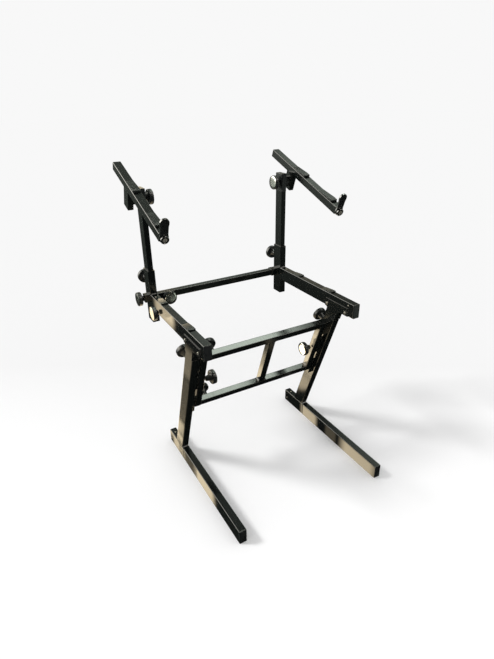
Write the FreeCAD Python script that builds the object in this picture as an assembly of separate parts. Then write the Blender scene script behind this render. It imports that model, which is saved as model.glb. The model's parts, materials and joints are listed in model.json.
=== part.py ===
import FreeCAD, Part
import collections
import math
import os

# Two-tier keyboard stand in millimetres, +X right, +Y rear, +Z up, floor at zero

# Steel tube sections
tube_width = 27.0
tube_depth = 53.0
inner_side_room = 3.5
inner_end_room = 4.0
tube_wall = 2.0
tube_corner = 2.5
square_side = 25.0
slide_clearance = 0.5
inner_corner = 2.0
bore_corner = 1.0
liner_length = 24.0
overrun = 60.0
match_gap = 0.01

# Feet and legs
leg_spacing = 578.0
lean_deg = 20.0
leg_foot_y = 36.3
leg_length = 522.8
sleeve_rear_y = 137.5
foot_reach = 460.0
foot_tail = 100.0
foot_seam = 2.0
cap_flange = 4.0
cap_edge = 1.5
cap_plug = 18.0
cap_clearance = 0.3

# Ladder frame between the legs, heights and drops along the lean
upper_rail_drop = 27.6
lower_rail_height = 251.2
upright_gap = 15.0
rung_inset = 212.5
rail_slide_gap = 0.5
rail_slide_length = 300.0
rail_knob_inset = 28.5
spacer_length = 65.0
spacer_depth = 20.0
lower_spacer_drop = 8.4
upper_spacer_drop = 20.4

# Lower arms and their T brackets, placed from the top of the leg
arm_lap = 23.5
arm_overhang = 21.0
stem_insert = 336.0
plate_thickness = 2.5
plate_lift = 39.7
plate_height = 30.5
plate_front = 102.5
plate_rear = 28.5
plate_corner = 5.0
neck_fillet = 6.0
neck_gap = 4.0
pad_width = 26.0
pad_length = 58.0
pad_land = 18.0
pad_tail = 0.8
pad_thickness = 4.0
pad_corner = 3.0
pad_edge = 1.0
left_rear_inset = 112.5
right_rear_inset = 137.5
left_front_inset = 111.0
right_front_inset = 128.0

# Posts of the upper tier
post_centre_y = 227.0
sleeve_drop = 61.0
sleeve_rise = 91.0
post_drop = 25.0
pivot_height = 988.0
block_drop = 35.0
block_rise = 34.0
block_lip = 0.5
block_plug = 40.0
crossbar_setback = 9.0
crossbar_drop = 23.0
crossbar_gap = 2.0
crossbar_inset = 1.0
crossbar_slide_length = 250.0
collar_side = 30.0
right_collar_length = 28.5
left_collar_length = 14.5
stub_length = 132.0

# Upper arms, laid out level around the tilt pivot
tilt_deg = 20.6
upper_arm_side = 29.0
upper_arm_front = 311.0
upper_arm_rear = 134.0
upper_arm_rise = 39.0
hanger_drop = 30.0
hanger_offset = 43.0
friction_radius = 20.0
friction_gap = 0.3
upper_pad_thickness = 7.0
upper_pad_length = 80.0
left_rear_reach = 79.0
right_rear_reach = 98.0
front_reach = 279.0
end_wall = 12.0
stop_lift = 12.5
stop_width = 30.0
stop_height = 53.0
stop_thickness = 8.0
stop_edge = 1.5
stop_gap = 0.3
stop_head_radius = 13.6
stop_head_length = 8.4
stop_head_edge = 2.0
stop_shaft_depth = 10.0

# Clamp knobs
knob_radius = 26.5
knob_thickness = 16.0
knob_edge = 4.0
stud_radius = 4.0
fit_clearance = 0.05
hub_length = 20.0
hub_foot_radius = 9.0
hub_head_radius = 13.0
hub_clear = 2.0
boss_radius = 9.0
boss_height = 6.0
tip_clearance = 0.4
knob_standoff = 28.0
leg_knob_drop = 46.0
leg_knob_standoff = 30.5
post_knob_drop = 46.0
tilt_knob_standoff = 13.0
post_side_standoff = 11.0
outer_knob_standoff = 17.0
outer_knob_inset = 96.5
outer_knob_drop = 32.0
crossbar_knob_standoff = 23.0
crossbar_knob_inset = 45.5
bolt_end_gap = 6.0

# Derived sizes
half_share = 0.5
parallel_share = 0.999
spigot_width = tube_width - 2 * (tube_wall + slide_clearance)
spigot_depth = tube_depth - 2 * (tube_wall + slide_clearance)
cap_fit_width = tube_width - 2 * (tube_wall + cap_clearance)
cap_fit_depth = tube_depth - 2 * (tube_wall + cap_clearance)
inner_width = tube_width - 2 * inner_side_room
inner_depth = tube_depth - 2 * inner_end_room
inner_plug_width = inner_width - 2 * (tube_wall + cap_clearance)
inner_plug_depth = inner_depth - 2 * (tube_wall + cap_clearance)
slide_side = square_side - 2 * (tube_wall + slide_clearance)
half_spacing = leg_spacing * half_share
leg_inner_x = half_spacing - tube_width * half_share
leg_outer_x = half_spacing + tube_width * half_share
upright_outer_x = leg_inner_x - upright_gap
upright_inner_x = upright_outer_x - square_side
lean_cos_share = math.cos(math.radians(lean_deg))
lean_sin_share = math.sin(math.radians(lean_deg))
leg_top_y = leg_foot_y - leg_length * lean_sin_share
leg_top = tube_depth + leg_length * lean_cos_share
leg_knob_height = leg_length - leg_knob_drop
upper_rail_height = leg_length - upper_rail_drop
side_knob_height = (upper_rail_height + lower_rail_height) * half_share
plate_bottom = leg_top + plate_lift
plate_top = plate_bottom + plate_height
plate_front_y = leg_top_y - plate_front
plate_rear_y = leg_top_y + plate_rear
arm_front_y = plate_front_y - arm_overhang
arm_top = plate_top + arm_lap
arm_bottom = arm_top - tube_depth
arm_middle = arm_top - tube_depth * half_share
stem_bottom = tube_depth + leg_length - stem_insert
stem_top = tube_depth + (arm_top - tube_depth) / lean_cos_share
post_front_y = post_centre_y - tube_depth * half_share
post_rear_y = post_centre_y + tube_depth * half_share
post_bottom = arm_bottom - post_drop
post_top = pivot_height - block_drop
sleeve_top = arm_top + sleeve_rise
crossbar_y = post_centre_y + crossbar_setback
crossbar_height = arm_top - crossbar_drop
block_width = inner_width + 2 * block_lip
hanger_x = half_spacing + hanger_offset
hanger_inner_x = hanger_x - inner_width * half_share
upper_arm_x = hanger_x - (square_side - inner_width) * half_share
upper_arm_base = pivot_height + upper_arm_rise
stop_middle = upper_arm_base + stop_lift
friction_x = half_spacing + block_width * half_share
friction_length = (hanger_inner_x - friction_x - friction_gap) * half_share
fit_radius = stud_radius + fit_clearance
wall_depth = tube_wall + slide_clearance - tip_clearance
inner_side_depth = inner_side_room - tip_clearance
inner_rear_depth = inner_end_room - tip_clearance
foot_front_y = -foot_reach - cap_flange
tilt_cos_share = math.cos(math.radians(tilt_deg))
tilt_sin_share = math.sin(math.radians(tilt_deg))
rear_reach_y = post_centre_y + upper_arm_rear * tilt_cos_share - upper_arm_rise * tilt_sin_share
centre_shift = -(foot_front_y + rear_reach_y) * half_share

AXIS_X = FreeCAD.Vector(1, 0, 0)
AXIS_Y = FreeCAD.Vector(0, 1, 0)
AXIS_Z = FreeCAD.Vector(0, 0, 1)
SIDES = {"left": -1, "right": 1}
RAILS = {"upper": upper_rail_height, "lower": lower_rail_height}
REAR_INSETS = {"left": left_rear_inset, "right": right_rear_inset}
FRONT_INSETS = {"left": left_front_inset, "right": right_front_inset}
REAR_REACHES = {"left": left_rear_reach, "right": right_rear_reach}
Clamp = collections.namedtuple("Clamp", "seat direction standoff depth rise")


def spread(centre, size):
    return (centre - size * half_share, centre + size * half_share)


def block(x, y, z):
    corner = FreeCAD.Vector(min(x), min(y), min(z))
    return Part.makeBox(abs(x[1] - x[0]), abs(y[1] - y[0]), abs(z[1] - z[0]), corner)


def rounded_block(x, y, z, along, radius):
    shape = block(x, y, z)
    edges = [e for e in shape.Edges if abs(e.tangentAt(e.FirstParameter).dot(along)) > parallel_share]
    return shape.makeFillet(radius, edges)


# Rounds every edge that lies in the plane at this level along the axis
def soften(shape, axis, level, radius):
    edges = [e for e in shape.Edges if all(abs(v.Point.dot(axis) - level) < match_gap for v in e.Vertexes)]
    return shape.makeFillet(radius, edges)


def tube(x, y, z, along, corner):
    walls = [0 if along.dot(axis) > parallel_share else tube_wall for axis in (AXIS_X, AXIS_Y, AXIS_Z)]
    ends = [0 if wall else overrun for wall in walls]
    core = [(min(r) + w - e, max(r) - w + e) for r, w, e in zip((x, y, z), walls, ends)]
    return rounded_block(x, y, z, along, corner).cut(rounded_block(*core, along, bore_corner))


def rod(radius, start, direction, length):
    return Part.makeCylinder(radius, length, start, direction)


def lean(shape):
    return shape.rotated(FreeCAD.Vector(0, leg_foot_y, tube_depth), AXIS_X, lean_deg)


def tilt(shape):
    return shape.rotated(FreeCAD.Vector(0, post_centre_y, pivot_height), AXIS_X, tilt_deg)


def save(name, shape):
    whole = shape.removeSplitter()
    whole.translate(FreeCAD.Vector(0, centre_shift, 0))
    if len(whole.Solids) != 1:
        raise ValueError(name + " is not one solid")
    whole.Solids[0].exportStep("parts/" + name + ".step")


# A clamp knob stands off its seat: a threaded stud, a hub and a thick round head
def knob(clamp):
    out = clamp.direction
    hub = min(hub_length, clamp.standoff - clamp.rise - hub_clear)
    back = clamp.seat + out * clamp.standoff
    head = rod(knob_radius, back, out, knob_thickness)
    head = head.makeFillet(knob_edge, [e for e in head.Edges if isinstance(e.Curve, Part.Circle)])
    cone = Part.makeCone(hub_foot_radius, hub_head_radius, hub, back - out * hub, out)
    length = clamp.depth + clamp.standoff + knob_thickness * half_share
    return head.fuse([cone, rod(stud_radius, clamp.seat - out * clamp.depth, out, length)])


def bore(shape, clamp):
    depth = clamp.depth + tip_clearance
    return shape.cut(rod(fit_radius, clamp.seat - clamp.direction * depth, clamp.direction, depth + overrun))


def bossed(shape, clamp):
    return bore(shape.fuse(rod(boss_radius, clamp.seat, clamp.direction, clamp.rise)), clamp)


def leg_clamp(side):
    y = leg_foot_y + tube_depth * half_share
    seat = FreeCAD.Vector(side * half_spacing, y, tube_depth + leg_knob_height)
    return Clamp(seat, AXIS_Y, leg_knob_standoff, inner_rear_depth, boss_height)


def rail_clamp(height):
    y = leg_foot_y + square_side * half_share
    seat = FreeCAD.Vector(rail_knob_inset - upright_inner_x, y, tube_depth + height)
    return Clamp(seat, AXIS_Y, knob_standoff, wall_depth, boss_height)


def ladder_clamp(side):
    seat = FreeCAD.Vector(side * upright_inner_x, leg_foot_y, tube_depth + side_knob_height)
    return Clamp(seat, AXIS_X * -side, knob_standoff, leg_inner_x + tube_wall - upright_inner_x, 0)


def post_clamp(side):
    seat = FreeCAD.Vector(side * half_spacing, post_rear_y, sleeve_top - post_knob_drop)
    return Clamp(seat, AXIS_Y, knob_standoff, inner_rear_depth, boss_height)


def post_side_clamp():
    seat = FreeCAD.Vector(-leg_outer_x - left_collar_length, crossbar_y, crossbar_height)
    return Clamp(seat, -AXIS_X, post_side_standoff, left_collar_length + inner_side_depth, 0)


def outer_clamp():
    seat = FreeCAD.Vector(-leg_outer_x, post_front_y - outer_knob_inset, arm_top - outer_knob_drop)
    return Clamp(seat, -AXIS_X, outer_knob_standoff, wall_depth, boss_height)


def crossbar_clamp():
    y = crossbar_y - square_side * half_share
    seat = FreeCAD.Vector(crossbar_knob_inset - leg_inner_x, y, crossbar_height)
    return Clamp(seat, -AXIS_Y, crossbar_knob_standoff, wall_depth, boss_height)


def tilt_clamp(side):
    x = half_spacing - block_width * half_share
    seat = FreeCAD.Vector(side * x, post_centre_y, pivot_height)
    depth = hanger_inner_x - x + tube_wall + bolt_end_gap
    return Clamp(seat, AXIS_X * -side, tilt_knob_standoff, depth, 0)


# A liner in the mouth of a sleeve takes up the room around the inner tube
def liner(x, y, top):
    z = (top - liner_length, top)
    wide_x = spread(x, tube_width - tube_wall)
    ring = rounded_block(wide_x, spread(y, tube_depth - tube_wall), z, AXIS_Z, bore_corner)
    room_x = spread(x, inner_width + 2 * slide_clearance)
    room_y = spread(y, inner_depth + 2 * slide_clearance)
    return ring.cut(rounded_block(room_x, room_y, (z[0] - overrun, z[1] + overrun), AXIS_Z, inner_corner))


# A cap closes the front end of a foot or an arm
def end_cap(x, front_y, z):
    rear_y = front_y + cap_flange
    face = rounded_block(spread(x, tube_width), (front_y, rear_y), z, AXIS_Y, tube_corner)
    face = soften(face, AXIS_Y, front_y, cap_edge)
    plug_z = spread((z[0] + z[1]) * half_share, cap_fit_depth)
    plug_y = (rear_y, rear_y + cap_plug)
    return face.fuse(rounded_block(spread(x, cap_fit_width), plug_y, plug_z, AXIS_Y, inner_corner))


# The foot sleeve lies under the leg and takes the spigot of the long front foot
def foot_sleeve(side):
    x = spread(side * half_spacing, tube_width)
    z = (0, tube_depth)
    shell = tube(x, (0, sleeve_rear_y), z, AXIS_Y, tube_corner)
    return shell.fuse(rounded_block(x, (sleeve_rear_y - tube_wall, sleeve_rear_y), z, AXIS_Y, tube_corner))


def foot(side):
    x = side * half_spacing
    z = (0, tube_depth)
    end_y = -foot_seam - tube_wall
    shell = tube(spread(x, tube_width), (-foot_reach, -foot_seam), z, AXIS_Y, tube_corner)
    end = rounded_block(spread(x, tube_width), (end_y, -foot_seam), z, AXIS_Y, tube_corner)
    spigot_z = spread(tube_depth * half_share, spigot_depth)
    spigot = tube(spread(x, spigot_width), (end_y, foot_tail), spigot_z, AXIS_Y, inner_corner)
    return shell.fuse([end, spigot])


def foot_cap(side):
    return end_cap(side * half_spacing, foot_front_y, (0, tube_depth))


# The leg leans to the front and is cut level where it stands on the sleeve
def leg(side):
    x = side * half_spacing
    y = spread(leg_foot_y, tube_depth)
    top = tube_depth + leg_length
    shell = tube(spread(x, tube_width), y, (0, top), AXIS_Z, tube_corner).fuse(liner(x, leg_foot_y, top))
    shell = bore(bossed(shell, leg_clamp(side)), ladder_clamp(side))
    below = block(spread(x, 2 * tube_width), spread(leg_foot_y, 2 * tube_depth), (-tube_depth, tube_depth))
    return lean(shell).cut(below)


# The ladder rails are sleeves for two tubes that stand on the left upright
def rail(height):
    x = (rail_slide_gap - upright_inner_x, upright_inner_x)
    z = spread(tube_depth + height, square_side)
    shell = tube(x, spread(leg_foot_y, square_side), z, AXIS_X, tube_corner)
    return lean(bossed(shell, rail_clamp(height)))


def rail_slide(height):
    x = (-upright_inner_x, rail_slide_length - upright_inner_x)
    z = spread(tube_depth + height, slide_side)
    return lean(tube(x, spread(leg_foot_y, slide_side), z, AXIS_X, inner_corner))


def rung():
    low = tube_depth + lower_rail_height + square_side * half_share
    high = tube_depth + upper_rail_height - square_side * half_share
    x = spread(upright_inner_x - rung_inset, square_side)
    return lean(tube(x, spread(leg_foot_y, square_side), (low, high), AXIS_Z, tube_corner))


# The upright is closed at both ends, and spacer blocks on it stand against the leg
def upright(side):
    low = tube_depth + lower_rail_height - square_side * half_share
    high = tube_depth + upper_rail_height + square_side * half_share
    x = (side * upright_inner_x, side * upright_outer_x)
    y = spread(leg_foot_y, square_side)
    shell = tube(x, y, (low, high), AXIS_Z, tube_corner)
    for end in ((low, low + tube_wall), (high - tube_wall, high)):
        shell = shell.fuse(rounded_block(x, y, end, AXIS_Z, tube_corner))
    lower = lower_rail_height - lower_spacer_drop
    upper = upper_rail_height - upper_spacer_drop
    for height in (lower, side_knob_height, upper):
        z = spread(tube_depth + height, spacer_length)
        gap_x = (side * upright_outer_x, side * leg_inner_x)
        shell = shell.fuse(block(gap_x, spread(leg_foot_y, spacer_depth), z))
    return lean(bore(shell, ladder_clamp(side)))


# Each T bracket is a stem that slides in the leg, with a cheek plate on both sides of the arm
def t_bracket(side):
    x = side * half_spacing
    wide_x = spread(x, tube_width + 2 * plate_thickness)
    long_y = (plate_front_y - overrun, plate_rear_y + overrun)
    stem_y = spread(leg_foot_y, inner_depth)
    stem = lean(tube(spread(x, inner_width), stem_y, (stem_bottom, stem_top), AXIS_Z, inner_corner))
    stem = stem.cut(block(wide_x, long_y, (arm_bottom, 2 * arm_top)))
    neck_z = (tube_depth + leg_length + neck_gap, stem_top)
    neck = lean(block(wide_x, spread(leg_foot_y, tube_depth), neck_z))
    bar_y = (plate_front_y, plate_rear_y)
    bar = rounded_block(wide_x, bar_y, (plate_bottom, plate_top), AXIS_X, plate_corner)
    cheeks = bar.fuse(neck).cut(block(wide_x, long_y, (plate_top, 2 * arm_top))).removeSplitter()
    cheeks = cheeks.makeFillet(neck_fillet, neck_corners(cheeks))
    around_arm = block(spread(x, tube_width), long_y, (arm_bottom, arm_top))
    around_stem = block(spread(x, inner_width), long_y, (0, arm_bottom))
    return stem.fuse(cheeks.cut([around_arm, around_stem]))


# The two inner corners where the neck meets the bar
def neck_corners(cheeks):
    drop = plate_bottom - tube_depth
    neck_y = leg_foot_y - drop * lean_sin_share / lean_cos_share
    reach = tube_depth * half_share / lean_cos_share
    corners = []
    for edge in cheeks.Edges:
        point = edge.CenterOfMass
        if abs(point.z - plate_bottom) < match_gap and abs(abs(point.y - neck_y) - reach) < match_gap:
            corners.append(edge)
    return corners


def arm(side):
    y = (arm_front_y, post_front_y)
    shell = tube(spread(side * half_spacing, tube_width), y, (arm_bottom, arm_top), AXIS_Y, tube_corner)
    return shell if side > 0 else bossed(shell, outer_clamp())


def arm_cap(side):
    return end_cap(side * half_spacing, arm_front_y - cap_flange, (arm_bottom, arm_top))


# A pad is level at its front end and slopes down to a thin tail at its rear end
def pad(x, front_y, base, thickness, length):
    top = base + thickness
    rear_y = front_y + length
    width = spread(x, pad_width)
    cushion = rounded_block(width, (front_y, rear_y), (base, top), AXIS_Z, pad_corner)
    cushion = soften(cushion, AXIS_Z, top, pad_edge)
    level = [(front_y + pad_land, top), (rear_y, base + pad_tail), (rear_y + overrun, base + pad_tail)]
    above = [(rear_y + overrun, top + overrun), (front_y + pad_land, top + overrun)]
    corners = [FreeCAD.Vector(width[0], y, z) for y, z in level + above]
    slope = Part.Face(Part.makePolygon(corners + corners[:1]))
    return cushion.cut(slope.extrude(AXIS_X * pad_width))


def arm_pad(side, front_y):
    return pad(side * half_spacing, front_y, arm_top, pad_thickness, pad_length)


# The post sleeves stand at the rear ends of the arms and carry the crossbar
def post_sleeve(side):
    x = side * half_spacing
    y = (post_front_y, post_rear_y)
    shell = tube(spread(x, tube_width), y, (arm_bottom - sleeve_drop, sleeve_top), AXIS_Z, tube_corner)
    shell = bossed(shell.fuse(liner(x, post_centre_y, sleeve_top)), post_clamp(side))
    if side > 0:
        return shell.fuse(collar())
    return bore(shell.fuse(nut_block()), post_side_clamp()).fuse(stub())


def collar():
    x = (leg_inner_x - right_collar_length, leg_inner_x)
    z = spread(crossbar_height, collar_side)
    return tube(x, spread(crossbar_y, collar_side), z, AXIS_X, tube_corner)


def nut_block():
    x = (-leg_outer_x - left_collar_length, -leg_outer_x)
    z = spread(crossbar_height, collar_side)
    return rounded_block(x, spread(crossbar_y, collar_side), z, AXIS_X, tube_corner)


def stub():
    y = (post_front_y - stub_length, post_front_y)
    z = spread(arm_middle, spigot_depth)
    return tube(spread(-half_spacing, spigot_width), y, z, AXIS_Y, inner_corner)


def crossbar():
    x = (crossbar_gap - leg_inner_x, leg_inner_x - crossbar_inset)
    z = spread(crossbar_height, square_side)
    return bossed(tube(x, spread(crossbar_y, square_side), z, AXIS_X, tube_corner), crossbar_clamp())


def crossbar_slide():
    x = (-leg_inner_x, crossbar_slide_length - leg_inner_x)
    z = spread(crossbar_height, slide_side)
    return tube(x, spread(crossbar_y, slide_side), z, AXIS_X, inner_corner)


def post(side):
    x = spread(side * half_spacing, inner_width)
    return tube(x, spread(post_centre_y, inner_depth), (post_bottom, post_top), AXIS_Z, inner_corner)


# The pivot block closes the post, and a friction disc on it faces the hanger of the upper arm
def pivot_block(side):
    x = side * half_spacing
    y = spread(post_centre_y, inner_depth + 2 * block_lip)
    top = pivot_height + block_rise
    body = rounded_block(spread(x, block_width), y, (post_top, top), AXIS_Z, inner_corner)
    body = soften(body, AXIS_Z, top, cap_edge)
    plug_y = spread(post_centre_y, inner_plug_depth)
    plug = block(spread(x, inner_plug_width), plug_y, (post_top - block_plug, post_top))
    face = FreeCAD.Vector(side * friction_x, post_centre_y, pivot_height)
    disc = rod(friction_radius, face, AXIS_X * side, friction_length)
    return bore(body.fuse([plug, disc]), tilt_clamp(side))


def hanger(side):
    z = (pivot_height - hanger_drop, upper_arm_base)
    x = spread(side * hanger_x, inner_width)
    shell = tube(x, spread(post_centre_y, inner_depth), z, AXIS_Z, inner_corner)
    face = FreeCAD.Vector(side * hanger_inner_x, post_centre_y, pivot_height)
    disc = rod(friction_radius, face, AXIS_X * -side, friction_length)
    return tilt(bore(shell.fuse(disc), tilt_clamp(side)))


# The upper arm is closed at both ends, and the thick front end takes the screw of the stop
def upper_arm(side):
    x = spread(side * upper_arm_x, upper_arm_side)
    y = (post_centre_y - upper_arm_front, post_centre_y + upper_arm_rear)
    z = (upper_arm_base, upper_arm_base + upper_arm_side)
    front = rounded_block(x, (y[0], y[0] + end_wall), z, AXIS_Y, tube_corner)
    rear = rounded_block(x, (y[1] - tube_wall, y[1]), z, AXIS_Y, tube_corner)
    hole = rod(fit_radius, stop_point(side, 0), AXIS_Y, stop_shaft_depth + tip_clearance)
    return tilt(tube(x, y, z, AXIS_Y, tube_corner).fuse([front, rear]).cut(hole))


def stop_point(side, ahead):
    return FreeCAD.Vector(side * upper_arm_x, post_centre_y - upper_arm_front - ahead, stop_middle)


def stop(side):
    start = stop_point(side, stop_gap + stop_thickness)
    y = (start.y, start.y + stop_thickness)
    lower_end = rod(stop_width * half_share, start, AXIS_Y, stop_thickness)
    upper_end = rod(stop_width * half_share, start + AXIS_Z * stop_height, AXIS_Y, stop_thickness)
    middle = block(spread(start.x, stop_width), y, (start.z, start.z + stop_height))
    plate = middle.fuse([lower_end, upper_end]).removeSplitter()
    for level in y:
        plate = soften(plate, AXIS_Y, level, stop_edge)
    return tilt(plate.cut(rod(fit_radius, start, AXIS_Y, stop_thickness)))


def stop_screw(side):
    start = stop_point(side, stop_thickness + 2 * stop_gap)
    head = rod(stop_head_radius, start, -AXIS_Y, stop_head_length)
    head = soften(head, AXIS_Y, start.y - stop_head_length, stop_head_edge)
    return tilt(head.fuse(rod(stud_radius, start, AXIS_Y, stop_thickness + 2 * stop_gap + stop_shaft_depth)))


def upper_pad(side, reach):
    base = upper_arm_base + upper_arm_side
    front_y = post_centre_y - reach
    return tilt(pad(side * upper_arm_x, front_y, base, upper_pad_thickness, upper_pad_length))


os.makedirs("parts", exist_ok=True)
for name, side in SIDES.items():
    save("foot_sleeve_" + name, foot_sleeve(side))
    save("foot_" + name, foot(side))
    save("foot_cap_" + name, foot_cap(side))
    save("leg_" + name, leg(side))
    save("leg_knob_" + name, lean(knob(leg_clamp(side))))
    save("upright_" + name, upright(side))
    save("ladder_knob_" + name, lean(knob(ladder_clamp(side))))
    save("t_bracket_" + name, t_bracket(side))
    save("arm_" + name, arm(side))
    save("arm_cap_" + name, arm_cap(side))
    save("arm_pad_rear_" + name, arm_pad(side, post_front_y - REAR_INSETS[name]))
    save("arm_pad_front_" + name, arm_pad(side, arm_front_y + FRONT_INSETS[name]))
    save("post_sleeve_" + name, post_sleeve(side))
    save("post_knob_" + name, knob(post_clamp(side)))
    save("post_" + name, post(side))
    save("pivot_block_" + name, pivot_block(side))
    save("tilt_knob_" + name, knob(tilt_clamp(side)))
    save("hanger_" + name, hanger(side))
    save("upper_arm_" + name, upper_arm(side))
    save("upper_pad_rear_" + name, upper_pad(side, REAR_REACHES[name]))
    save("upper_pad_front_" + name, upper_pad(side, front_reach))
    save("stop_" + name, stop(side))
    save("stop_screw_" + name, stop_screw(side))

for name, height in RAILS.items():
    save(name + "_rail", rail(height))
    save(name + "_rail_slide", rail_slide(height))
    save(name + "_rail_knob", lean(knob(rail_clamp(height))))

save("rung", rung())
save("crossbar", crossbar())
save("crossbar_slide", crossbar_slide())
save("post_side_knob", knob(post_side_clamp()))
save("corner_knob_outer", knob(outer_clamp()))
save("crossbar_knob", knob(crossbar_clamp()))
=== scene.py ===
import collections
import json
import math

import bmesh
import bpy
from mathutils import Matrix, Vector

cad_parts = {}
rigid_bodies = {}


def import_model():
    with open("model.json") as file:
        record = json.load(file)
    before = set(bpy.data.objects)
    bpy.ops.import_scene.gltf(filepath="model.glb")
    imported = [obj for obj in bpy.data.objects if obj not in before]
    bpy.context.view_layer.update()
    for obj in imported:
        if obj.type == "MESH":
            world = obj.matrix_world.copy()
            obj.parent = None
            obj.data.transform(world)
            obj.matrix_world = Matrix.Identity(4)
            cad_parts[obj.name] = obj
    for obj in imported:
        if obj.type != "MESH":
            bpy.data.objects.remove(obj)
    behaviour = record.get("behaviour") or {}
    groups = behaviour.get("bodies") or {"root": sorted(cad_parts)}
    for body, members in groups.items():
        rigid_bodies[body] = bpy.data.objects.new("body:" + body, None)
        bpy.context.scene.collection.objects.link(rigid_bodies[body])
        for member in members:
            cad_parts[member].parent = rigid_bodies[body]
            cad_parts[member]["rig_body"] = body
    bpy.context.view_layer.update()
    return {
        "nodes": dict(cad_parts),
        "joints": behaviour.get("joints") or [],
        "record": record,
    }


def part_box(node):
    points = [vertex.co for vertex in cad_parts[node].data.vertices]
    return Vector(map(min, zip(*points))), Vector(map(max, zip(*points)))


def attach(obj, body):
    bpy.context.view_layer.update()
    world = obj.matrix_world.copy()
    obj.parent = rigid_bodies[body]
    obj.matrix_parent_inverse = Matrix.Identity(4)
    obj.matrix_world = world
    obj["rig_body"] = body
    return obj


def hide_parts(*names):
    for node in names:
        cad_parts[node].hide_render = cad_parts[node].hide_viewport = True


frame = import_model()

bl_info = {
    "name": "Keyboard stand looks",
    "version": (1, 0, 0),
    "blender": (4, 5, 0),
    "location": "View3D > Sidebar > Stand",
    "description": "Dresses a two-tier keyboard stand with knobs, pads, bolts, welds and finishes",
    "category": "Object",
}

MM = 0.001
SIDES = {"left": -1, "right": 1}
JOINTS = {joint["name"]: joint for joint in frame["joints"]}
SLOTS = {part["node"]: part["material_slot"] for part in frame["record"]["subparts"]}
KNOBS = [node for node in SLOTS if SLOTS[node] == "knob"]
PADS = [node for node in SLOTS if SLOTS[node] == "pad"]
FULL_TURN = 2 * math.pi
SMOOTH_BELOW = math.radians(38)

# Points closer together than MERGE become one, and points within NEAR of a rim belong to it
MERGE = 0.002 * MM
NEAR = 0.1 * MM

# How far bolt heads and nuts sink into what they seat on
SINK = 0.2 * MM

# Outlines of turned pieces in millimetres, as pairs of radius and height
KNOB_HUB = ((7.6, 0.0), (8.6, 0.5), (9.0, 1.5))
KNOB_BACK = ((12.4, -1.4), (13.6, -0.3), (15.6, 0.6), (19.6, 0.9), (21.0, 0.5), (22.4, 0.0), (24.3, 0.4))
STOP_CAP = ((11.0, 0.0), (12.9, 0.4), (13.6, 1.4), (13.6, 6.2), (13.1, 7.5), (11.9, 8.3), (10.4, 8.2),
            (9.6, 7.0), (7.6, 6.6))
STOP_DRIVE = ((6.6, 6.0), (6.6, 7.4), (5.8, 8.0))

# The rim of a knob in millimetres: steps in from its radius with heights, then with steps back from its front
KNOB_RISE = ((0.8, 1.5), (0.0, 3.6))
KNOB_FRONT = ((0.0, 2.8), (0.4, 1.2), (1.0, 0.3), (1.6, 0.0))
FLUTES = 32

# The recess in a knob in millimetres, as steps out from its radius and back from the knob's front
KNOB_RECESS = ((0.25, 0.2), (0.0, 1.2))

# The insert in a knob: its edge as steps in and heights in millimetres, its dome as radius shares and heights
INSERT_EDGE = ((0.0, 0.0), (0.0, 0.7), (0.5, 1.1))
INSERT_DOME_SHARES = ((0.66, 1.25), (0.3, 1.35), (0.04, 1.38))

# Middles of the grooves across a pad and half their width, in millimetres from its front end
PAD_GROOVES = (5, 10)
GROOVE_HALF = 1

# Weld fillets at the legs and posts as shares of those in the ladder
LEG_WELD_SHARE = 0.5
POST_WELD_SHARE = 0.3

# Bright places that gloss mirrors, with angles in degrees: light is full up to core and fades out at edge
Gleam = collections.namedtuple("Gleam", "tint azimuth elevation core edge power")
GLEAMS = (Gleam("sky_card", 54, 62, 5, 12, 12.5), Gleam("sky_card", 52, 37, 3, 9, 1.1),
          Gleam("sky_card", 26, 25, 2, 6, 0.75), Gleam("sky_card", 156, -25, 1, 3.5, 0.9),
          Gleam("sky_card", -45, -5, 4, 20, 0.4), Gleam("window", -47, 24, 16, 34, 7.0),
          Gleam("window", 136, 51, 10, 24, 5.0), Gleam("warm_card", 15.5, 14, 3, 6, 4.6),
          Gleam("warm_card", 38, 15, 2, 8, 0.5), Gleam("sky_card", 45, -15, 8, 28, 1.2),
          Gleam("sky_card", 125, -10, 8, 22, 1.2))

# The picture that the camera was fitted to: focal length, shift and taller side in pixels, and sensor in mm
FOCAL_PIXELS = 471.16
SHIFT_PIXELS = (-0.4, -0.25)
TALL_PIXELS = 659
SENSOR = 36

# The low sun: heading and spread in degrees, and power
SUN_AZIMUTH = -57
SUN_ELEVATION = 43
SUN_SPREAD = 13
SUN_POWER = 1.5


def linear(code):
    """Turns an sRGB hex colour into the linear values that Blender works in."""
    parts = [int(code[i:i + 2], 16) / 255 for i in (1, 3, 5)]
    return tuple(p / 12.92 if p <= 0.04045 else ((p + 0.055) / 1.055) ** 2.4 for p in parts)


def colour(name, description, code):
    """A colour that can be changed in the sidebar."""
    return bpy.props.FloatVectorProperty(name=name, description=description, subtype="COLOR", size=3,
                                         min=0, max=1, default=linear(code))


def length(name, description, millimetres):
    """A length that can be changed in the sidebar."""
    return bpy.props.FloatProperty(name=name, description=description, unit="LENGTH", precision=4,
                                   default=millimetres * MM)


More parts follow.
